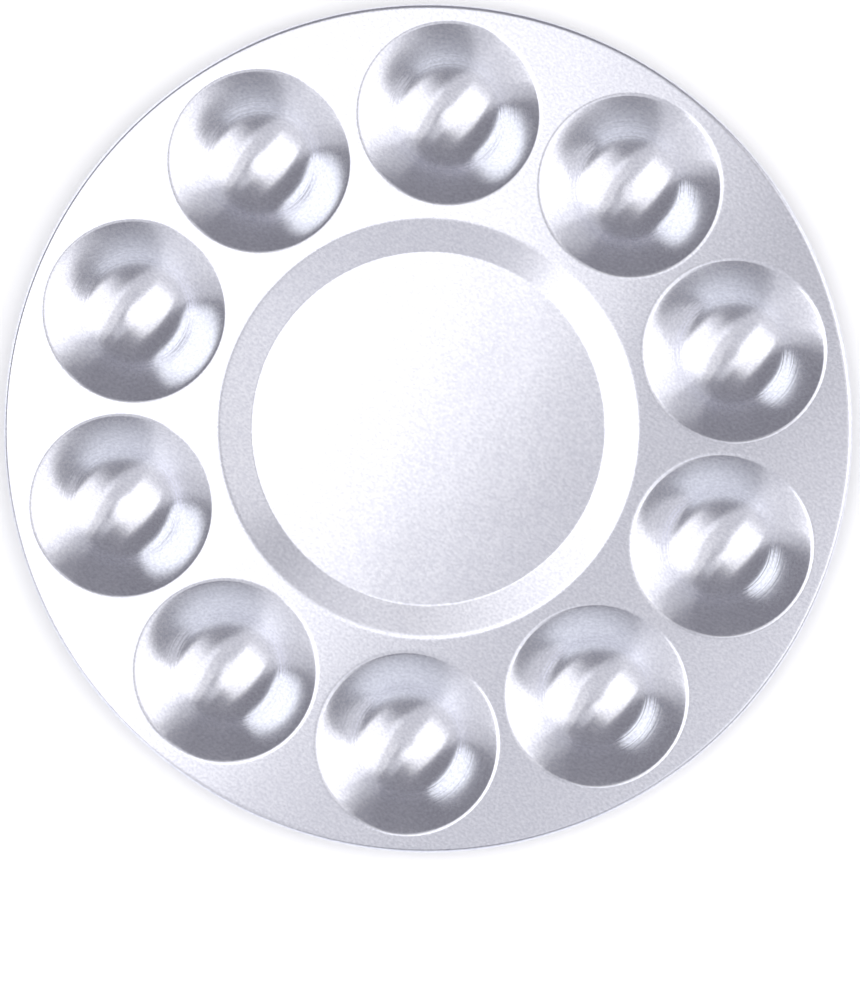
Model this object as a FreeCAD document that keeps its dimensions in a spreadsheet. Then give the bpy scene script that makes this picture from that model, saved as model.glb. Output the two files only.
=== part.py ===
"""Round paint palette pressed from one aluminium sheet: ten wells round a shallow mixing pan.

Frame: millimetres, +Z up. The origin is on the disc's axis, level with the undersides of the wells,
so the palette rests on z = 0. One well lies on +X.
"""
import FreeCAD
import Part
import math
import os
import Sketcher

V = FreeCAD.Vector
START, END, CENTRE = 1, 2, 3
X_AXIS, Y_AXIS = -1, -2
ORIGIN = (-1, 1)

# alias, value in mm (degrees for a turn), what it is
DRIVING_SIZES = [
    ("disc_dia", 170.0, "outside diameter over the rolled edge"),
    ("gauge", 0.5, "thickness of the sheet"),
    ("curl_rad", 1.0, "outside radius of the rolled edge"),
    ("curl_turn", 225.0, "how far the edge is rolled over, degrees"),
    ("well_count", 10, "wells, evenly spaced"),
    ("well_ring_dia", 126.4, "circle through the wells' centres"),
    ("well_mouth_dia", 37.3, "where a well's lip leaves the flat sheet"),
    ("well_depth", 8.4, "flat sheet to the well's floor, on the upper side"),
    ("lip_rad", 1.8, "upper side of the lip"),
    ("wall_rad", 52.0, "slow bulge of the free wall, upper side"),
    ("draw_ring_dia", 21.3, "where the punch's nose let go of the wall"),
    ("nose_rad", 16.0, "round floor of the well, upper side"),
    ("nose_flat_dia", 1.8, "flat at the middle of the floor"),
    ("pan_floor_dia", 70.6, "flat floor of the mixing pan"),
    ("pan_mouth_dia", 84.8, "where the pan's lip leaves the flat sheet"),
    ("pan_depth", 1.3, "flat sheet to the pan's floor, on the upper side"),
    ("pan_lip_rad", 6.0, "upper side of the pan's lip"),
    ("pan_foot_rad", 2.0, "upper side of the bend at the pan's foot"),
]


def make_sheet(doc):
    """The spreadsheet that holds the driving dimensions."""
    sheet = doc.addObject("Spreadsheet::Sheet", "Sizes")
    for row, (alias, value, words) in enumerate(DRIVING_SIZES, start=1):
        sheet.set(f"A{row}", alias)
        sheet.set(f"B{row}", str(value))
        sheet.set(f"C{row}", words)
        sheet.setAlias(f"B{row}", alias)
    doc.recompute()
    return sheet


def origin_feature(body, role):
    """One of the body's own planes or axes."""
    return next(f for f in body.Origin.OriginFeatures if f.Role == role)


class Section:
    """A closed sketch on one of a body's own planes, made of lines and arcs tied together."""

    def __init__(self, body, name, plane):
        self.sketch = body.newObject("Sketcher::SketchObject", name)
        self.sketch.AttachmentSupport = [(origin_feature(body, plane), "")]
        self.sketch.MapMode = "FlatFace"

    def line(self, start, end, guide=False):
        """A guide is a construction line, which bounds no face."""
        return self.sketch.addGeometry(Part.LineSegment(V(*start, 0), V(*end, 0)), guide)

    def arc(self, centre, radius, first, last):
        """Anticlockwise from the angle first to the angle last, in radians."""
        circle = Part.Circle(V(*centre, 0), V(0, 0, 1), radius)
        return self.sketch.addGeometry(Part.ArcOfCircle(circle, first, last), False)

    def circle(self, centre, radius):
        return self.sketch.addGeometry(Part.Circle(V(*centre, 0), V(0, 0, 1), radius), False)

    def tie(self, kind, *what):
        return self.sketch.addConstraint(Sketcher.Constraint(kind, *what))

    def size(self, name, kind, what, value, cells):
        """A dimension that follows an expression of the sheet's cells."""
        index = self.tie(kind, *what, value)
        self.sketch.renameConstraint(index, name)
        self.sketch.setExpression(f"Constraints.{name}", cells)


def offset(point, angle, length):
    """The point that lies length away from point, towards angle."""
    return (point[0] + length * math.cos(angle), point[1] + length * math.sin(angle))


def tangent_slope(low, low_rad, high, high_rad):
    """Slope of the line that leaves the circle round low and runs over the circle round high."""
    across, up = high[0] - low[0], high[1] - low[1]
    return math.atan2(up, across) + math.asin((low_rad + high_rad) / math.hypot(across, up))


def meeting_centre(first, first_rad, second, second_rad):
    """The lower of the two points that lie first_rad from first and second_rad from second."""
    across, up = second[0] - first[0], second[1] - first[1]
    gap = math.hypot(across, up)
    along = (first_rad**2 - second_rad**2 + gap**2) / (2 * gap)
    aside = math.sqrt(first_rad**2 - along**2)
    x = first[0] + (along * across + aside * up) / gap
    z = first[1] + (along * up - aside * across) / gap
    return (x, z)


def draw_disc_section(body, sheet):
    """Half section of the disc: pan, flat sheet and rolled edge, as one strip of constant gauge."""
    gauge = sheet.gauge
    floor_end = sheet.pan_floor_dia / 2
    mouth = sheet.pan_mouth_dia / 2
    edge = sheet.disc_dia / 2 - sheet.curl_rad
    top = sheet.well_depth + gauge
    floor = top - sheet.pan_depth
    foot = (floor_end, floor + sheet.pan_foot_rad)
    lip = (mouth, top - sheet.pan_lip_rad)
    curl = (edge, top - sheet.curl_rad)
    slope = tangent_slope(foot, sheet.pan_foot_rad, lip, sheet.pan_lip_rad)
    turn = math.radians(sheet.curl_turn)
    down, up = -math.pi / 2, math.pi / 2

    s = Section(body, "DiscSection", "XZ_Plane")
    strips = []
    for inset in (0.0, gauge):
        foot_rad = sheet.pan_foot_rad + inset
        lip_rad = sheet.pan_lip_rad - inset
        curl_rad = sheet.curl_rad - inset
        wall_start = offset(foot, down + slope, foot_rad)
        wall_end = offset(lip, up + slope, lip_rad)
        strip = {
            "floor": s.line((0, floor - inset), (floor_end, floor - inset)),
            "foot": s.arc(foot, foot_rad, down, down + slope),
            "wall": s.line(wall_start, wall_end),
            "lip": s.arc(lip, lip_rad, up, up + slope),
            "flat": s.line((mouth, top - inset), (edge, top - inset)),
            "curl": s.arc(curl, curl_rad, up - turn, up),
        }
        strips.append(strip)
    upper, lower = strips
    hem_outer = offset(curl, up - turn, sheet.curl_rad)
    hem_inner = offset(curl, up - turn, sheet.curl_rad - gauge)
    hem = s.line(hem_outer, hem_inner)
    axis = s.line((0, floor - gauge), (0, floor))

    for strip in strips:
        s.tie("Tangent", strip["floor"], END, strip["foot"], START)
        s.tie("Tangent", strip["foot"], END, strip["wall"], START)
        s.tie("Tangent", strip["wall"], END, strip["lip"], END)
        s.tie("Tangent", strip["lip"], START, strip["flat"], START)
        s.tie("Tangent", strip["flat"], END, strip["curl"], END)
        s.tie("Horizontal", strip["floor"])
        s.tie("Horizontal", strip["flat"])
    for bend in ("foot", "lip", "curl"):
        s.tie("Coincident", lower[bend], CENTRE, upper[bend], CENTRE)
    s.tie("Parallel", lower["wall"], upper["wall"])
    s.tie("Coincident", upper["curl"], START, hem, START)
    s.tie("Coincident", lower["curl"], START, hem, END)
    s.tie("PointOnObject", upper["curl"], CENTRE, hem)
    s.tie("Coincident", axis, START, lower["floor"], START)
    s.tie("Coincident", axis, END, upper["floor"], START)
    s.tie("PointOnObject", axis, START, Y_AXIS)
    s.tie("PointOnObject", axis, END, Y_AXIS)

    flat_start, flat_end = (upper["flat"], START), (upper["flat"], END)
    pan_end, under_end = (upper["floor"], END), (lower["flat"], END)
    s.size("floor_x", "DistanceX", (*ORIGIN, *pan_end), floor_end, "Sizes.pan_floor_dia / 2")
    s.size("mouth_x", "DistanceX", (*ORIGIN, *flat_start), mouth, "Sizes.pan_mouth_dia / 2")
    s.size("edge_x", "DistanceX", (*ORIGIN, *flat_end), edge, "Sizes.disc_dia / 2 - Sizes.curl_rad")
    s.size("top_z", "DistanceY", (*ORIGIN, *flat_end), top, "Sizes.well_depth + Sizes.gauge")
    s.size("pan_z", "DistanceY", (*pan_end, *flat_start), sheet.pan_depth, "Sizes.pan_depth")
    s.size("gauge_z", "DistanceY", (*under_end, *flat_end), gauge, "Sizes.gauge")
    s.size("foot_r", "Radius", (upper["foot"],), sheet.pan_foot_rad, "Sizes.pan_foot_rad")
    s.size("lip_r", "Radius", (upper["lip"],), sheet.pan_lip_rad, "Sizes.pan_lip_rad")
    s.size("curl_r", "Radius", (upper["curl"],), sheet.curl_rad, "Sizes.curl_rad")
    s.size("turn", "Angle", (upper["curl"],), turn, "Sizes.curl_turn * 1 deg")
    return s.sketch


def draw_well_section(body, sheet):
    """Half section of a well on +X, from the well's own axis out to the end of its lip."""
    gauge = sheet.gauge
    top = sheet.well_depth + gauge
    axis_x = sheet.well_ring_dia / 2
    flat_end = sheet.nose_flat_dia / 2
    ring_out = sheet.draw_ring_dia / 2
    mouth = sheet.well_mouth_dia / 2
    nose = (axis_x + flat_end, gauge + sheet.nose_rad)
    lip = (axis_x + mouth, top - sheet.lip_rad)
    nose_turn = math.asin((ring_out - flat_end) / sheet.nose_rad)
    down, up = -math.pi / 2, math.pi / 2
    ring = offset(nose, down + nose_turn, sheet.nose_rad)
    wall = meeting_centre(ring, sheet.wall_rad, lip, sheet.wall_rad - sheet.lip_rad)
    wall_foot = math.atan2(ring[1] - wall[1], ring[0] - wall[0])
    wall_top = math.atan2(lip[1] - wall[1], lip[0] - wall[0])

    s = Section(body, "WellSection", "XZ_Plane")
    strips = []
    for inset in (0.0, gauge):
        strip = {
            "floor": s.line((axis_x, gauge - inset), (nose[0], gauge - inset)),
            "nose": s.arc(nose, sheet.nose_rad + inset, down, down + nose_turn),
            "wall": s.arc(wall, sheet.wall_rad - inset, wall_top, wall_foot),
            "lip": s.arc(lip, sheet.lip_rad - inset, up, wall_top),
        }
        strips.append(strip)
    upper, lower = strips
    seam = s.line((lip[0], top - gauge), (lip[0], top))
    axis = s.line((axis_x, 0), (axis_x, gauge))
    axle = s.line((axis_x, gauge), (axis_x, top), guide=True)

    for strip in strips:
        s.tie("Tangent", strip["floor"], END, strip["nose"], START)
        s.tie("Coincident", strip["nose"], END, strip["wall"], END)
        s.tie("Tangent", strip["wall"], START, strip["lip"], END)
        s.tie("Horizontal", strip["floor"])
        s.tie("Vertical", strip["lip"], START, strip["lip"], CENTRE)
    for bend in ("nose", "wall", "lip"):
        s.tie("Coincident", lower[bend], CENTRE, upper[bend], CENTRE)
    s.tie("Coincident", seam, START, lower["lip"], START)
    s.tie("Coincident", seam, END, upper["lip"], START)
    s.tie("Coincident", axis, START, lower["floor"], START)
    s.tie("Coincident", axis, END, upper["floor"], START)
    s.tie("Coincident", axle, START, axis, END)
    s.tie("Horizontal", axle, END, seam, END)
    s.tie("Vertical", axis)
    s.tie("Vertical", axle)
    s.tie("PointOnObject", axis, START, X_AXIS)

    bottom, centre = (axis, START), (axis, END)
    s.size("axis_x", "DistanceX", (*ORIGIN, *bottom), axis_x, "Sizes.well_ring_dia / 2")
    s.size("flat_x", "DistanceX", (*centre, upper["floor"], END), flat_end, "Sizes.nose_flat_dia / 2")
    s.size("ring_x", "DistanceX", (*centre, upper["nose"], END), ring_out, "Sizes.draw_ring_dia / 2")
    s.size("mouth_x", "DistanceX", (*centre, seam, END), mouth, "Sizes.well_mouth_dia / 2")
    s.size("depth_z", "DistanceY", (*centre, seam, END), sheet.well_depth, "Sizes.well_depth")
    s.size("floor_z", "DistanceY", (*bottom, *centre), gauge, "Sizes.gauge")
    s.size("seam_z", "DistanceY", (seam, START, seam, END), gauge, "Sizes.gauge")
    s.size("nose_r", "Radius", (upper["nose"],), sheet.nose_rad, "Sizes.nose_rad")
    s.size("wall_r", "Radius", (upper["wall"],), sheet.wall_rad, "Sizes.wall_rad")
    s.size("lip_r", "Radius", (upper["lip"],), sheet.lip_rad, "Sizes.lip_rad")
    return s.sketch


def draw_mouth(body, sheet):
    """The hole in the flat sheet that a well hangs in."""
    axis_x = sheet.well_ring_dia / 2
    radius = sheet.well_mouth_dia / 2
    s = Section(body, "MouthSection", "XY_Plane")
    mouth = s.circle((axis_x, 0), radius)
    s.tie("PointOnObject", mouth, CENTRE, X_AXIS)
    s.size("axis_x", "DistanceX", (*ORIGIN, mouth, CENTRE), axis_x, "Sizes.well_ring_dia / 2")
    s.size("mouth_r", "Radius", (mouth,), radius, "Sizes.well_mouth_dia / 2")
    return s.sketch


def repeat_round(body, name, feature):
    """The feature once for every well, round the disc's axis."""
    pattern = body.newObject("PartDesign::PolarPattern", name)
    pattern.Originals = [feature]
    pattern.Axis = (origin_feature(body, "Z_Axis"), [""])
    pattern.Angle = 360
    pattern.setExpression("Occurrences", "Sizes.well_count")
    body.Tip = pattern
    return pattern


def make_palette(doc, sheet):
    """The whole palette: a spun disc, ten holes through it, and a well hung in every hole."""
    body = doc.addObject("PartDesign::Body", "palette_tray")
    body.Label = "palette_tray"

    disc = body.newObject("PartDesign::Revolution", "Disc")
    disc.Profile = draw_disc_section(body, sheet)
    disc.ReferenceAxis = (origin_feature(body, "Z_Axis"), [""])
    disc.Angle = 360
    doc.recompute()
    disc_volume = disc.Shape.Volume

    hole = body.newObject("PartDesign::Pocket", "Mouth")
    hole.Profile = draw_mouth(body, sheet)
    hole.Type = "ThroughAll"
    hole.Midplane = True
    doc.recompute()
    repeat_round(body, "Mouths", hole)
    doc.recompute()
    pierced_volume = body.Shape.Volume
    assert pierced_volume < disc_volume, "the mouths cut nothing"

    section = draw_well_section(body, sheet)
    well = body.newObject("PartDesign::Revolution", "Well")
    well.Profile = section
    well.ReferenceAxis = (section, ["Axis0"])
    well.Angle = 360
    doc.recompute()
    repeat_round(body, "Wells", well)
    doc.recompute()
    assert body.Shape.Volume > pierced_volume, "the wells added nothing"
    return body


def check(doc, body):
    """Stop here rather than write a broken file."""
    for item in doc.Objects:
        assert "Invalid" not in item.State and "Error" not in item.State, item.Name
    assert not body.Shape.isNull() and body.Shape.isValid(), body.Label
    assert len(body.Shape.Solids) == 1, "the palette is one sheet of metal"
    assert abs(body.Shape.BoundBox.ZMin) < 0.001, "the wells stand on z = 0"


def main():
    os.makedirs("parts", exist_ok=True)
    doc = FreeCAD.newDocument("palette")
    sheet = make_sheet(doc)
    palette = make_palette(doc, sheet)
    check(doc, palette)
    palette.Shape.exportStep(f"parts/{palette.Label}.step")
    box = palette.Shape.optimalBoundingBox(False, False)
    print("palette", round(box.XLength, 2), round(box.YLength, 2), round(box.ZLength, 2))
    print("from", round(box.ZMin, 3), "volume", round(palette.Shape.Volume))


main()
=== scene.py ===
# A round paint palette pressed from one aluminium sheet, with ten wells round a shallow mixing pan.
from math import asin, atan2, cos, hypot, pi, radians, sin, sqrt

import bmesh
import bpy
from mathutils import Matrix, Vector


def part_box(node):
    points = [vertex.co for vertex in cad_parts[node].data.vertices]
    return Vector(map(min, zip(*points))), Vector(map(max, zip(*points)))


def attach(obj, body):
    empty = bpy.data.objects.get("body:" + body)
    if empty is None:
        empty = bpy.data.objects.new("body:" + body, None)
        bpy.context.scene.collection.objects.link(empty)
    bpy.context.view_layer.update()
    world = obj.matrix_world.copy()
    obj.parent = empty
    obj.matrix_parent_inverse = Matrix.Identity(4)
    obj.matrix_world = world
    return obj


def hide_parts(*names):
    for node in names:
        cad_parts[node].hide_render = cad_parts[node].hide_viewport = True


mm = 0.001
up = Vector((0, 0, 1))

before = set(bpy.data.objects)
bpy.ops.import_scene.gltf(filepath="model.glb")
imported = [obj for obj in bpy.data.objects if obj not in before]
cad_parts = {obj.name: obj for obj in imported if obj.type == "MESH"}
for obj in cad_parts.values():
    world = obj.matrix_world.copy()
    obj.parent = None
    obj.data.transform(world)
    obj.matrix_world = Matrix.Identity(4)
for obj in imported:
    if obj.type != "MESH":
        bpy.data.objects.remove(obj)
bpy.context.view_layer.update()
low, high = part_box("palette_tray")
print("frame loaded", [round(v, 4) for v in high - low])


def fromHex(code):
    # sRGB hex to linear colour
    parts = [int(code[i:i + 2], 16) / 255 for i in (1, 3, 5)]
    return [c / 12.92 if c <= 0.04045 else ((c + 0.055) / 1.055) ** 2.4 for c in parts] + [1.0]


def addNode(tree, kind, settings=None, links=None):
    # one node with its settings, its plain input values and its incoming links
    node = tree.nodes.new(kind)
    for key, value in (settings or {}).items():
        if hasattr(node, key):
            setattr(node, key, value)
        else:
            node.inputs[key].default_value = value
    for key, source in (links or {}).items():
        tree.links.new(source, node.inputs[key])
    return node


# millimetres
tray = {
    "radius": (high.x - low.x) / 2 / mm,
    "top": high.z / mm,
    "gauge": 0.5,
    "curlRadius": 1.0,
    "curlTurn": 225,  # degrees, rolled outwards, down and back under
    "wellCount": 10,
    "ringRadius": 63.2,  # the circle through the wells' centres
    "mouthRadius": 18.65,
    "wellDepth": 8.4,
    "lipRadius": 1.8,
    "wallRadius": 52.0,  # slow bulge of the free wall
    "drawRadius": 10.65,  # where the punch's nose let go of the wall
    "noseRadius": 16.0,
    "noseFlat": 0.9,
    "panFloor": 35.3,
    "panMouth": 42.4,
    "panDepth": 1.3,
    "panLip": 6.0,
    "panFoot": 2.0,
    "edging": 0.25,  # narrow flat ring round every bend, so that the flat stays flat in the light
    "weld": 0.001,  # points nearer than this are one point
    "wellTurns": 120,  # steps round a well, and round the disc
    "discTurns": 240,
    "noseSteps": 12,  # steps along each bend of the profiles
    "wallSteps": 9,
    "lipSteps": 6,
    "footSteps": 4,
    "curlSteps": 26,
}


def bend(bm, vert, centre, angle, steps):
    # carries a profile on along an arc in the XZ plane, by turning its last point about centre
    made = bmesh.ops.spin(bm, geom=[vert], cent=Vector((centre[0], 0, centre[1])), axis=(0, 1, 0),
                          angle=angle, steps=steps)
    return made["geom_last"][0]


def run(bm, vert, across, down=0.0):
    # carries a profile on along a straight line
    made = bmesh.ops.extrude_vert_indiv(bm, verts=[vert])
    bmesh.ops.translate(bm, verts=made["verts"], vec=(across, 0, -down))
    return made["verts"][0]


def turnRound(bm, axisX, steps, weld):
    # spins everything in the bmesh round an upright axis
    bmesh.ops.spin(bm, geom=bm.verts[:] + bm.edges[:], cent=(axisX, 0, 0), axis=up, angle=2 * pi,
                   steps=steps, use_merge=True)
    bmesh.ops.remove_doubles(bm, verts=bm.verts, dist=weld)


def tangentSlope(lowCentre, lowRadius, highCentre, highRadius):
    # slope of the line that leaves the circle below it and runs over the circle above
    across, rise = highCentre[0] - lowCentre[0], highCentre[1] - lowCentre[1]
    return atan2(rise, across) + asin((lowRadius + highRadius) / hypot(across, rise))


def meetingCentre(first, firstRadius, second, secondRadius):
    # the lower point that lies firstRadius from first and secondRadius from second
    across, rise = second[0] - first[0], second[1] - first[1]
    gap = hypot(across, rise)
    along = (firstRadius ** 2 - secondRadius ** 2 + gap ** 2) / (2 * gap)
    aside = sqrt(firstRadius ** 2 - along ** 2)
    return (first[0] + (along * across + aside * rise) / gap,
            first[1] + (along * rise - aside * across) / gap)


def wellShape(p):
    # flat, nose, wall and lip in profile, spun round the middle of the first well
    bm = bmesh.new()
    top, x0 = p["top"], p["ringRadius"]
    floor = top - p["wellDepth"]
    nose = (x0 + p["noseFlat"], floor + p["noseRadius"])
    noseTurn = asin((p["drawRadius"] - p["noseFlat"]) / p["noseRadius"])
    lip = (x0 + p["mouthRadius"], top - p["lipRadius"])
    ring = (nose[0] + p["noseRadius"] * sin(noseTurn), nose[1] - p["noseRadius"] * cos(noseTurn))
    wall = meetingCentre(ring, p["wallRadius"], lip, p["wallRadius"] - p["lipRadius"])
    wallFoot = atan2(ring[1] - wall[1], ring[0] - wall[0])
    wallTop = atan2(lip[1] - wall[1], lip[0] - wall[0])

    last = bmesh.ops.create_vert(bm, co=(x0, 0, floor))["vert"][0]
    last = run(bm, last, p["noseFlat"])
    last = bend(bm, last, nose, -noseTurn, p["noseSteps"])
    last = bend(bm, last, wall, wallFoot - wallTop, p["wallSteps"])
    last = bend(bm, last, lip, wallTop - pi / 2, p["lipSteps"])
    run(bm, last, p["edging"])
    turnRound(bm, x0, p["wellTurns"], p["weld"])
    return bm


def panShape(p):
    # floor, foot, wall and lip in profile, spun round the disc's axis
    bm = bmesh.new()
    top = p["top"]
    floor = top - p["panDepth"]
    foot = (p["panFloor"], floor + p["panFoot"])
    lip = (p["panMouth"], top - p["panLip"])
    slope = tangentSlope(foot, p["panFoot"], lip, p["panLip"])
    wallStart = (foot[0] + p["panFoot"] * sin(slope), foot[1] - p["panFoot"] * cos(slope))
    wallEnd = (lip[0] - p["panLip"] * sin(slope), lip[1] + p["panLip"] * cos(slope))

    last = bmesh.ops.create_vert(bm, co=(0, 0, floor))["vert"][0]
    last = run(bm, last, p["panFloor"] - p["edging"])
    last = run(bm, last, p["edging"])
    last = bend(bm, last, foot, -slope, p["footSteps"])
    last = run(bm, last, wallEnd[0] - wallStart[0], wallStart[1] - wallEnd[1])
    last = bend(bm, last, lip, slope, p["lipSteps"])
    run(bm, last, p["edging"])
    turnRound(bm, 0, p["discTurns"], p["weld"])
    return bm


def rimShape(p):
    # the disc's edge, rolled outwards and under
    bm = bmesh.new()
    edge = p["radius"] - p["curlRadius"]
    last = bmesh.ops.create_vert(bm, co=(edge - p["edging"], 0, p["top"]))["vert"][0]
    last = run(bm, last, p["edging"])
    bend(bm, last, (edge, p["top"] - p["curlRadius"]), radians(p["curlTurn"]), p["curlSteps"])
    turnRound(bm, 0, p["discTurns"], p["weld"])
    return bm


def into(bm, part, angle=0.0):
    # adds one shape to another, turned round the disc's axis
    bmesh.ops.rotate(part, verts=part.verts, cent=(0, 0, 0), matrix=Matrix.Rotation(angle, 3, "Z"))
    scrap = bpy.data.meshes.new("scrap")
    part.to_mesh(scrap)
    bm.from_mesh(scrap)
    bpy.data.meshes.remove(scrap)
    part.free()


def pressSheet(p):
    bm = bmesh.new()
    into(bm, panShape(p))
    into(bm, rimShape(p))
    for i in range(p["wellCount"]):
        into(bm, wellShape(p), 2 * pi * i / p["wellCount"])

    # the flat web between the pan, the wells and the rim
    edges = [edge for edge in bm.edges if edge.is_boundary
             and all(abs(v.co.z - p["top"]) < p["weld"] for v in edge.verts)]
    bmesh.ops.triangle_fill(bm, use_beauty=True, edges=edges, normal=up)
    bmesh.ops.remove_doubles(bm, verts=bm.verts, dist=p["weld"])

    # outwards is upwards on everything that lies flat
    bmesh.ops.recalc_face_normals(bm, faces=bm.faces)
    level = 0.999
    if sum(face.normal.z for face in bm.faces if abs(face.normal.z) > level) < 0:
        bmesh.ops.reverse_faces(bm, faces=bm.faces)
    for face in bm.faces:
        face.smooth = True
    for edge in bm.edges:
        if edge.is_boundary:
            edge.smooth = False
    return bm


def makeTray(p, stretch):
    bm = pressSheet(p)

    # how far every point is from the middle of its nearest well, in mm
    wellRadius = bm.verts.layers.float.new("wellRadius")
    turns = [2 * pi * i / p["wellCount"] for i in range(p["wellCount"])]
    middles = [Vector((p["ringRadius"] * cos(turn), p["ringRadius"] * sin(turn))) for turn in turns]
    for v in bm.verts:
        v[wellRadius] = min((v.co.xy - middle).length for middle in middles)

    # a map laid flat on the sheet, its U along the way that highlights run
    grain = bm.loops.layers.uv.new("grain")
    lay = Matrix.Rotation(-radians(stretch), 2)
    perMm = 0.01  # the whole disc lands within a few units
    for face in bm.faces:
        for loop in face.loops:
            loop[grain].uv = lay @ loop.vert.co.xy * perMm
    bmesh.ops.scale(bm, vec=(mm, mm, mm), verts=bm.verts)
    mesh = bpy.data.meshes.new("paletteSheet")
    bm.to_mesh(mesh)
    bm.free()
    piece = bpy.data.objects.new("palette_sheet", mesh)
    bpy.context.scene.collection.objects.link(piece)
    wall = piece.modifiers.new("gauge", "SOLIDIFY")
    wall.thickness = p["gauge"] * mm
    wall.offset = -1
    wall.use_even_offset = True
    wall.use_quality_normals = True
    return piece


material = {
    "pale": "#F2F3FB",
    "dull": "#DFE0EB",
    "roughness": 0.217,
    "anisotropy": 0.867,
    "stretch": 42.8,  # highlights run this way across the sheet, degrees from +X: square to the grain
    "grain": (0.36, 0.26),  # mm, length and width of one speck: real grain is finer, and wouldn't show
    "grainNoise": {"Scale": 0.5, "Detail": 1.5, "Roughness": 0.6},
    "grainRange": {"From Min": 0.3, "From Max": 0.7},  # the part of the noise that goes from dull to pale
    "grainRise": 0.0018,  # mm
    "marks": 0.4,  # mm, spacing of the rings that the punch drew
    "marksRise": 0.014,
    "marksFrom": (9.9, 10.5, 12.2, 14.2),  # mm from a well's middle: faint, full, full, gone
    "dents": 13.0,  # mm across
    "dentRise": 0.035,
}


def millAluminium(p):
    # mill-finish aluminium, cold rolled then pressed: bright, with a fine grain that smears highlights
    made = bpy.data.materials.new("millFinishAluminium")
    made.use_nodes = True
    tree = made.node_tree
    tree.nodes.clear()
    place = addNode(tree, "ShaderNodeTexCoord")

    # specks, a little longer the way that the sheet was rolled
    long, wide = p["grain"]
    rolled = addNode(tree, "ShaderNodeMapping", {
        "vector_type": "TEXTURE",
        "Rotation": (0, 0, radians(p["stretch"] - 90)),
        "Scale": (long * mm, wide * mm, wide * mm),
    }, {"Vector": place.outputs["Object"]})
    specks = addNode(tree, "ShaderNodeTexNoise", p["grainNoise"], {"Vector": rolled.outputs["Vector"]})
    tone = addNode(tree, "ShaderNodeMapRange", p["grainRange"], {"Value": specks.outputs["Fac"]})
    colour = addNode(tree, "ShaderNodeMixRGB", {"Color1": fromHex(p["dull"]), "Color2": fromHex(p["pale"])},
                     {"Fac": tone.outputs["Result"]})

    # rings drawn by the punch round the foot of each well's wall
    fromMiddle = addNode(tree, "ShaderNodeAttribute", {"attribute_name": "wellRadius"})
    marks = addNode(tree, "ShaderNodeTexNoise", {
        "noise_dimensions": "1D",
        "Scale": 1 / p["marks"],
        "Detail": 1.0,
    }, {"W": fromMiddle.outputs["Fac"]})
    start, full, fade, end = p["marksFrom"]
    rising = addNode(tree, "ShaderNodeMapRange", {
        "interpolation_type": "SMOOTHSTEP",
        "From Min": start,
        "From Max": full,
    }, {"Value": fromMiddle.outputs["Fac"]})
    falling = addNode(tree, "ShaderNodeMapRange", {
        "interpolation_type": "SMOOTHSTEP",
        "From Min": end,
        "From Max": fade,
    }, {"Value": fromMiddle.outputs["Fac"]})
    band = addNode(tree, "ShaderNodeMath", {"operation": "MULTIPLY"},
                   {0: rising.outputs["Result"], 1: falling.outputs["Result"]})
    ringed = addNode(tree, "ShaderNodeMath", {"operation": "MULTIPLY"},
                     {0: band.outputs["Value"], 1: marks.outputs["Fac"]})

    # shallow dents, so that no two wells mirror the room alike
    scaled = addNode(tree, "ShaderNodeVectorMath", {"operation": "SCALE", "Scale": 1 / (p["dents"] * mm)},
                     {"Vector": place.outputs["Object"]})
    dents = addNode(tree, "ShaderNodeTexNoise", {"Scale": 1.0, "Detail": 0.0},
                    {"Vector": scaled.outputs["Vector"]})

    # the three heights, one upon another
    bumped = None
    for height, rise in (
        (dents.outputs["Fac"], p["dentRise"]),
        (ringed.outputs["Value"], p["marksRise"]),
        (specks.outputs["Fac"], p["grainRise"]),
    ):
        under = {"Normal": bumped.outputs["Normal"]} if bumped else {}
        bumped = addNode(tree, "ShaderNodeBump", {"Strength": 1.0, "Distance": rise * mm},
                         {"Height": height, **under})

    tangent = addNode(tree, "ShaderNodeTangent", {"direction_type": "UV_MAP", "uv_map": "grain"})
    metal = addNode(tree, "ShaderNodeBsdfPrincipled", {
        "Metallic": 1.0,
        "Roughness": p["roughness"],
        "Anisotropic": p["anisotropy"],
    }, {
        "Base Color": colour.outputs["Color"],
        "Normal": bumped.outputs["Normal"],
        "Tangent": tangent.outputs["Tangent"],
    })
    addNode(tree, "ShaderNodeOutputMaterial", {}, {"Surface": metal.outputs["BSDF"]})
    return made


palette = makeTray(tray, material["stretch"])
palette.data.materials.append(millAluminium(material))
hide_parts("palette_tray")
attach(palette, "root")
print("sheet pressed", len(palette.data.polygons), "faces")


studio = {
    "roll": -14.2,  # the camera's turn about its own line of sight, degrees
    "aside": (0.36, -14.34),  # mm from the disc's axis to the camera's foot, along the frame's own axes
    "distance": 640,  # mm above the sheet
    "lens": 115.2,
    "sensor": 36,
    "nearest": 0.05,  # metres, where the camera starts to see
    "floor": "#F6F6F7",
    "floorRoughness": 0.9,
    "floorHalf": 3,  # metres from its middle to each side
    "floorGap": 0.1,  # mm, just clear of the wells' flats
    "room": "#8B8A90",
    "reach": 2.0,  # metres from the palette to each softbox
    "washHeight": 2.5,  # metres: a wide light that only the floor and dull things show
    "washWidth": 3,
    "washGlow": 1.4,
}
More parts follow.
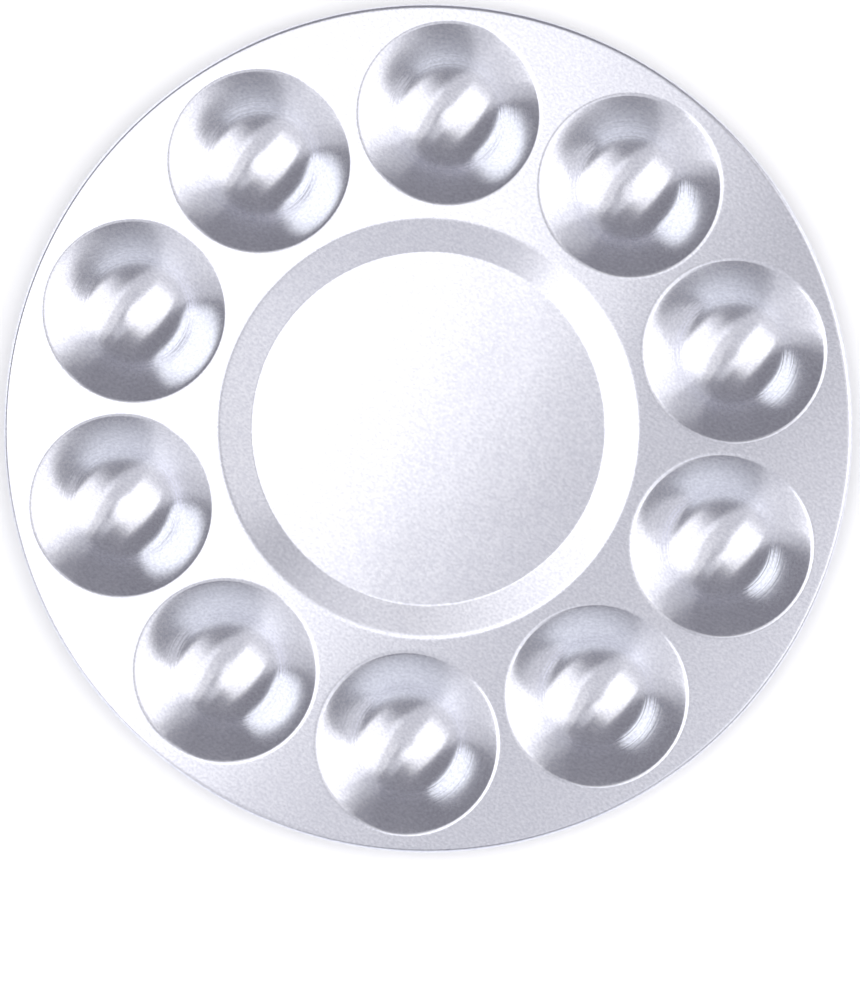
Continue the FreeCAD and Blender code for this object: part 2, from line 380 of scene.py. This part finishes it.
# bearing and lean say where a box hangs: degrees anticlockwise from the frame's right, and down from
# overhead. Turn is its own, in degrees, and its width and length are in metres.
softboxes = {
    "westBox": {"bearing": 179, "lean": 22.3, "width": 2.2, "length": 1.23, "turn": -43,
                "glow": 0.92, "tint": "#FFFEFB"},
    "eastBox": {"bearing": 0, "lean": 42.2, "width": 2.0, "length": 2.0, "turn": -43,
                "glow": 0.64, "tint": "#FFFEFB"},
    "gapCard": {"bearing": 55, "lean": 29, "width": 0.8, "length": 0.5, "turn": 82, "glow": 0.42},
    "southEastBox": {"bearing": -9, "lean": 43, "width": 3.0, "length": 1.4, "turn": -28, "glow": 0.45},
    "lowWindow": {"bearing": 148, "lean": 80, "width": 2.4, "length": 1.1, "turn": -2,
                  "glow": 1.1, "tint": "#FAFDFF"},
    "southCard": {"bearing": -101, "lean": 79, "width": 4.6, "length": 1.0, "turn": 8,
                  "glow": 0.72, "tint": "#F3F7FC"},
    "eastCard": {"bearing": -11, "lean": 82, "width": 4.0, "length": 1.15, "turn": 9, "glow": 0.45},
    "westCard": {"bearing": -143, "lean": 38, "width": 4.2, "length": 2.1, "turn": 78, "glow": 0.45},
    "northEastCard": {"bearing": 21, "lean": 77, "width": 2.5, "length": 1.9, "turn": -27, "glow": 0.32},
}
white = "#FFFFFF"
roll = Matrix.Rotation(radians(studio["roll"]), 3, "Z")


def areaLight(name, place, width, length, glow, tint):
    lamp = bpy.data.lights.new(name, "AREA")
    lamp.shape = "RECTANGLE"
    lamp.size, lamp.size_y = width, length
    lamp.color = fromHex(tint)[:3]
    lamp.energy = glow * width * length * pi  # watts, so that the face of the box has that radiance
    box = bpy.data.objects.new(name, lamp)
    bpy.context.scene.collection.objects.link(box)
    box.location = place
    return box


def hangBox(name, b):
    # hangs a softbox at its bearing and lean, facing the palette
    lean, bearing = radians(b["lean"]), radians(b["bearing"])
    away = roll @ Vector((sin(lean) * cos(bearing), sin(lean) * sin(bearing), cos(lean)))
    box = areaLight(name, away * studio["reach"], b["width"], b["length"], b["glow"], b.get("tint", white))
    facing = away.to_track_quat("Z", "Y").to_matrix() @ Matrix.Rotation(radians(b["turn"]), 3, "Z")
    box.rotation_euler = facing.to_euler()


for name, b in softboxes.items():
    hangBox(name, b)

wash = areaLight("floorWash", up * studio["washHeight"], studio["washWidth"], studio["washWidth"],
                 studio["washGlow"], white)
wash.visible_glossy = False

world = bpy.data.worlds.new("room")
bpy.context.scene.world = world
world.use_nodes = True
world.node_tree.nodes["Background"].inputs["Color"].default_value = fromHex(studio["room"])

bm = bmesh.new()
bmesh.ops.create_grid(bm, x_segments=1, y_segments=1, size=studio["floorHalf"])
floorMesh = bpy.data.meshes.new("floor")
bm.to_mesh(floorMesh)
bm.free()
floor = bpy.data.objects.new("floor", floorMesh)
floor.location.z = -studio["floorGap"] * mm
bpy.context.scene.collection.objects.link(floor)
paint = bpy.data.materials.new("matteWhiteTable")
paint.use_nodes = True
coat = paint.node_tree.nodes["Principled BSDF"]
coat.inputs["Base Color"].default_value = fromHex(studio["floor"])
coat.inputs["Roughness"].default_value = studio["floorRoughness"]
floorMesh.materials.append(paint)

lens = bpy.data.cameras.new("camera")
lens.lens = studio["lens"]
lens.sensor_width = studio["sensor"]
lens.clip_start = studio["nearest"]
camera = bpy.data.objects.new("camera", lens)
bpy.context.scene.collection.objects.link(camera)
camera.rotation_euler = (0, 0, radians(studio["roll"]))
foot = roll @ Vector((*studio["aside"], 0)) * mm
camera.location = foot + up * (high.z + studio["distance"] * mm)
bpy.context.scene.camera = camera
bpy.context.scene.view_settings.view_transform = "Standard"
print("studio lit")
